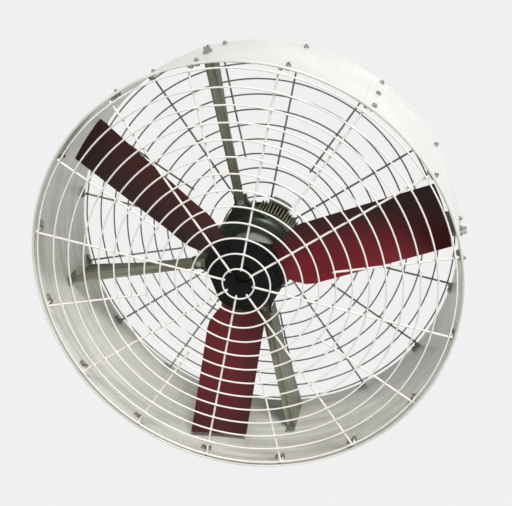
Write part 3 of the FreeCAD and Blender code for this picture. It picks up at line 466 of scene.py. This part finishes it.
def raise_fins(bm):
    """The fins in front of the terminal box rise towards it."""
    for vert in bm.verts:
        angle = math.degrees(math.atan2(vert.co.x, vert.co.z))
        high = math.hypot(vert.co.x, vert.co.z) > FIN_OUTER
        if high and abs(angle - BOX_TURN) < FIN_HALF_TURN and FIN_START < vert.co.y < FIN_END:
            set_radius(vert, FIN_PEAK)


def turn(angle):
    return Matrix.Rotation(math.radians(angle), 4, "Y")


def add_ring(bm, radius, depth):
    place = Matrix.Translation((radius, depth, 0))
    made = bmesh.ops.create_circle(bm, segments=WIRE_SIDES, radius=RING_WIRE / 2, matrix=place)
    edges = list({edge for vert in made["verts"] for edge in vert.link_edges})
    bmesh.ops.spin(bm, geom=edges, cent=(0, 0, 0), axis=(0, 1, 0), angle=math.tau, steps=RING_STEPS,
                   use_merge=True)


def add_spoke(bm, start, depth, leg, angle, inward):
    """A wire along the radius that bends into the drum and ends in its clip."""
    place = Matrix.Translation((0, depth, start))
    made = bmesh.ops.create_circle(bm, segments=WIRE_SIDES, radius=SPOKE_WIRE / 2, matrix=place)
    loop = list({edge for vert in made["verts"] for edge in vert.link_edges})
    bmesh.ops.edgeloop_fill(bm, edges=loop)
    every = set(made["verts"])

    def push(edges, offset):
        grown = bmesh.ops.extrude_edge_only(bm, edges=edges)["geom"]
        verts = [item for item in grown if isinstance(item, bmesh.types.BMVert)]
        bmesh.ops.translate(bm, verts=verts, vec=offset)
        every.update(verts)
        fresh = set(verts)
        return [item for item in grown if isinstance(item, bmesh.types.BMEdge) and set(item.verts) <= fresh]

    loop = push(loop, (0, 0, LEG_RADIUS - BEND - start))
    before = set(bm.verts)
    corner = (0, depth + inward * BEND, LEG_RADIUS - BEND)
    bent = bmesh.ops.spin(bm, geom=loop, cent=corner, axis=(1, 0, 0), angle=-inward * math.tau / 4,
                          steps=BEND_STEPS)
    every.update(set(bm.verts) - before)
    loop = [item for item in bent["geom_last"] if isinstance(item, bmesh.types.BMEdge)]
    loop = push(loop, (0, leg - depth - inward * BEND, 0))
    bmesh.ops.edgeloop_fill(bm, edges=loop)
    bmesh.ops.rotate(bm, verts=list(every), cent=(0, 0, 0), matrix=turn(angle))


def add_weld(bm, radius, angle, depth):
    """The spot of metal where a ring meets a spoke."""
    made = bmesh.ops.create_icosphere(bm, subdivisions=1, radius=1.0)
    shape = turn(angle) @ Matrix.Translation((0, depth, radius)) @ Matrix.Diagonal((*WELD_SPOT, 1))
    bmesh.ops.transform(bm, matrix=shape, verts=made["verts"])


def wire_guard(node, spokes, leg, inward, material):
    """Rings welded to the outside of long and short spokes by turns."""
    ring_depth = spokes - inward * RING_LIFT
    radii = [RING_PITCH * (index + 1) for index in range(RINGS)] + [RIM_RING]
    bm = bmesh.new()
    for radius in radii:
        add_ring(bm, radius, ring_depth)
    for index in range(SPOKES):
        angle = index * 360 / SPOKES
        first = 0 if index % 2 else SHORT_SPOKE_RING - 1
        add_spoke(bm, radii[first] - SPOKE_STUB, spokes, leg, angle, inward)
        for radius in radii[first:]:
            add_weld(bm, radius, angle, spokes - inward * RING_LIFT / 2)
    finish_piece(node + "_wires", to_mesh(bm, node, WIRE_SHARP_TURN), material, node)


def drum(material):
    """Rolled sheet with its edge folded back outside at each rim, and the fold rounded."""
    profile = [
        (WALL_INNER, FRONT_RIM), (DRUM_RADIUS, FRONT_RIM), (DRUM_RADIUS, FRONT_RIM + HEM),
        (WALL_OUTER, FRONT_RIM + HEM), (WALL_OUTER, REAR_RIM - HEM), (DRUM_RADIUS, REAR_RIM - HEM),
        (DRUM_RADIUS, REAR_RIM), (WALL_INNER, REAR_RIM),
    ]
    bm = bmesh.new()
    verts = [bm.verts.new((radius, depth, 0)) for radius, depth in profile]
    edges = [bm.edges.new((verts[index - 1], verts[index])) for index in range(len(verts))]
    bmesh.ops.spin(bm, geom=edges, cent=(0, 0, 0), axis=(0, 1, 0), angle=math.tau, steps=DRUM_STEPS,
                   use_merge=True)
    bmesh.ops.recalc_face_normals(bm, faces=bm.faces)

    def on_corner(vert, radius, depths):
        off_radius = abs(math.hypot(vert.co.x, vert.co.z) - radius)
        return off_radius < SAME_PLACE and min(abs(vert.co.y - depth) for depth in depths) < SAME_PLACE

    def corner_loops(radius, depths):
        return [edge for edge in bm.edges
                if all(on_corner(vert, radius, depths) for vert in edge.verts)
                and abs(edge.verts[0].co.y - edge.verts[1].co.y) < SAME_PLACE]

    rims = (FRONT_RIM, REAR_RIM)
    folds = corner_loops(WALL_INNER, rims) + corner_loops(DRUM_RADIUS, rims)
    bmesh.ops.bevel(bm, geom=folds, offset=FOLD_ROUNDING, affect="EDGES", segments=4, profile=0.5,
                    material=-1)
    lips = corner_loops(DRUM_RADIUS, (FRONT_RIM + HEM, REAR_RIM - HEM))
    bmesh.ops.bevel(bm, geom=lips, offset=LIP_ROUNDING, affect="EDGES", segments=2, profile=0.5,
                    material=-1)
    finish_piece("drum_sheet", to_mesh(bm, "drum_sheet", DRUM_SHARP_TURN), material, "drum_shell")


def build():
    white = guard_coat("guard_coat", linear(219, 215, 210), linear(209, 204, 197), 0.40)
    # Painted shade: the rear guard is made grey to stand for its wires in the drum's shade.
    grey = guard_coat("rear_guard_shade_grey", linear(158, 158, 154), linear(138, 138, 134), 0.50)
    sheet = drum_sheet()
    zinc = plated("dull_zinc", linear(196, 194, 186), linear(138, 136, 128), 0.85)
    steel = plated("ground_steel", linear(190, 190, 188), linear(160, 160, 158), 0.9)
    copper = plated("coil_varnish", linear(150, 92, 58), linear(110, 62, 38), 0.6)
    rubber = casting_enamel("seal_rubber", (0.02, 0.02, 0.02), (0.012, 0.012, 0.012), 0.6, 0.3)
    nylon = casting_enamel("gland_nylon", (0.022, 0.022, 0.022), (0.014, 0.014, 0.014), 0.42, 0.4)
    green = casting_enamel("motor_enamel", linear(58, 72, 53), linear(42, 54, 39), 0.26, 0.5)
    olive = casting_enamel("box_enamel", linear(96, 96, 80), linear(76, 76, 62), 0.46, 0.35)
    lid_grey = casting_enamel("lid_enamel", linear(212, 215, 203), linear(188, 191, 179), 0.46, 0.35)
    black = casting_enamel("hub_enamel", linear(19, 21, 21), linear(12, 14, 14), 0.50, 0.12)
    upright = folded_plate("plate_upright", (160.0, 160.0, 3.0))
    level = folded_plate("plate_level", (3.0, 160.0, 160.0))

    wire_guard("front_guard", FRONT_SPOKES, FRONT_LEG_END, 1, white)
    # The rear guard takes the painted-shade grey.
    wire_guard("rear_guard", REAR_SPOKES, REAR_LEG_END, -1, grey)
    drum(sheet)
    dress("drum_seam_lap", sheet, FASTENER_EDGE)
    for side, plate in (("top", upright), ("bottom", upright), ("left", level), ("right", level)):
        dress("arm_" + side, plate, PLATE_EDGE)
    dress("motor_front_bell", bell_enamel(), BELL_EDGE, BELL_SHARP_TURN)
    dress("motor_rear_bell", green, BELL_EDGE, BELL_SHARP_TURN)
    dress("motor_barrel", finned_enamel(), FIN_EDGE, shape=raise_fins)
    dress("terminal_box", olive, COVER_EDGE, shape=lower_box)
    dress("terminal_box_lid", lid_grey, COVER_EDGE, shape=lower_box)
    dress("terminal_lid_screws", zinc, FASTENER_EDGE, shape=lower_by(SCREW_DROP))
    for name in ("hub_front_half", "hub_rear_half"):
        dress(name, black, COVER_EDGE, shape=draw_in_sides)
    for index in range(BLADES):
        name = "blade_%d" % (index + 1)
        enamel = blade_enamel(name + "_enamel", BLADE_TURN + index * BLADE_PITCH, *BLADE_PAINTED_SHADE[index])
        dress(name, enamel, BLADE_EDGE)
    for name in ("front_guard_clips", "rear_guard_clips", "front_clip_bolts", "front_clip_nuts",
                 "rear_clip_bolts", "rear_clip_nuts", "seam_bolt", "seam_nut", "arm_wall_bolts",
                 "arm_wall_nuts", "arm_ear_bolts", "arm_ear_nuts"):
        dress(name, zinc, FASTENER_EDGE)
    for name in ("front_bell_bolts", "rear_bell_bolts"):
        dress(name, green, FASTENER_EDGE)
    for name in ("blade_bolts", "blade_nuts", "hub_washer", "hub_screw"):
        dress(name, black, FASTENER_EDGE)
    dress("cable_gland", nylon, FASTENER_EDGE, shape=lower_by(GLAND_DROP))
    inside = {
        steel: ("shaft", "rotor_core", "stator_core", "hub_key", "front_bearing_outer_race",
                "front_bearing_inner_race", "rear_bearing_outer_race", "rear_bearing_inner_race"),
        copper: ("stator_windings",),
        nylon: ("terminal_block",),
        rubber: ("shaft_seal", "front_bearing_seals", "rear_bearing_seals"),
    }
    for material, names in inside.items():
        for name in names:
            for entry in frame["nodes"][name].material_slots:
                entry.material = material


# Stage

def pale_floor():
    bm = bmesh.new()
    place = Matrix.Translation((0, 0, FLOOR_HEIGHT))
    bmesh.ops.create_grid(bm, x_segments=1, y_segments=1, size=FLOOR_REACH, matrix=place)
    mesh = bpy.data.meshes.new("floor")
    bm.to_mesh(mesh)
    bm.free()
    pale = bpy.data.materials.new("pale_floor")
    pale.use_nodes = True
    surface = pale.node_tree.nodes["Principled BSDF"].inputs
    surface["Base Color"].default_value = (FLOOR_TONE, FLOOR_TONE, FLOOR_TONE, 1)
    surface["Roughness"].default_value = 0.9
    surface["Specular IOR Level"].default_value = 0.0
    mesh.materials.append(pale)
    floor = bpy.data.objects.new("floor", mesh)
    bpy.context.scene.collection.objects.link(floor)


def studio_sky():
    """As pale as the floor near it, and dimmer overhead."""
    world = bpy.data.worlds.new("studio")
    bpy.context.scene.world = world
    world.use_nodes = True
    tree = world.node_tree
    place = tree.nodes.new("ShaderNodeTexCoord")
    height = tree.nodes.new("ShaderNodeSeparateXYZ")
    fade = tree.nodes.new("ShaderNodeMapRange")
    fade.interpolation_type = "SMOOTHSTEP"
    fade.inputs["From Min"].default_value, fade.inputs["From Max"].default_value = SKY_FADE
    fade.inputs["To Min"].default_value = SKY_TONE
    fade.inputs["To Max"].default_value = OVERHEAD_TONE
    tree.links.new(place.outputs["Generated"], height.inputs[0])
    tree.links.new(height.outputs["Z"], fade.inputs["Value"])
    tree.links.new(fade.outputs[0], tree.nodes["Background"].inputs["Strength"])
    tree.nodes["Background"].inputs["Color"].default_value = (1, 1, 1, 1)


def key_light():
    sun = bpy.data.lights.new("key", "SUN")
    sun.energy = KEY_POWER
    sun.angle = math.radians(KEY_SPREAD)
    holder = bpy.data.objects.new("key", sun)
    holder.rotation_euler = (-Vector(KEY_FROM)).to_track_quat("-Z", "Y").to_euler()
    bpy.context.scene.collection.objects.link(holder)


def stage():
    pale_floor()
    studio_sky()
    key_light()
    bpy.context.scene.view_settings.view_transform = "Standard"


def camera():
    lens = bpy.data.cameras.new("camera")
    lens.sensor_width = SENSOR
    lens.lens = LENS
    lens.shift_x, lens.shift_y = SHIFT
    holder = bpy.data.objects.new("camera", lens)
    axes = Matrix((CAMERA_RIGHT, CAMERA_UP, CAMERA_BACK)).transposed().to_4x4()
    holder.matrix_world = Matrix.Translation(CAMERA_PLACE) @ axes
    bpy.context.scene.collection.objects.link(holder)
    bpy.context.scene.camera = holder


build()
stage()
camera()
bpy.context.view_layer.update()
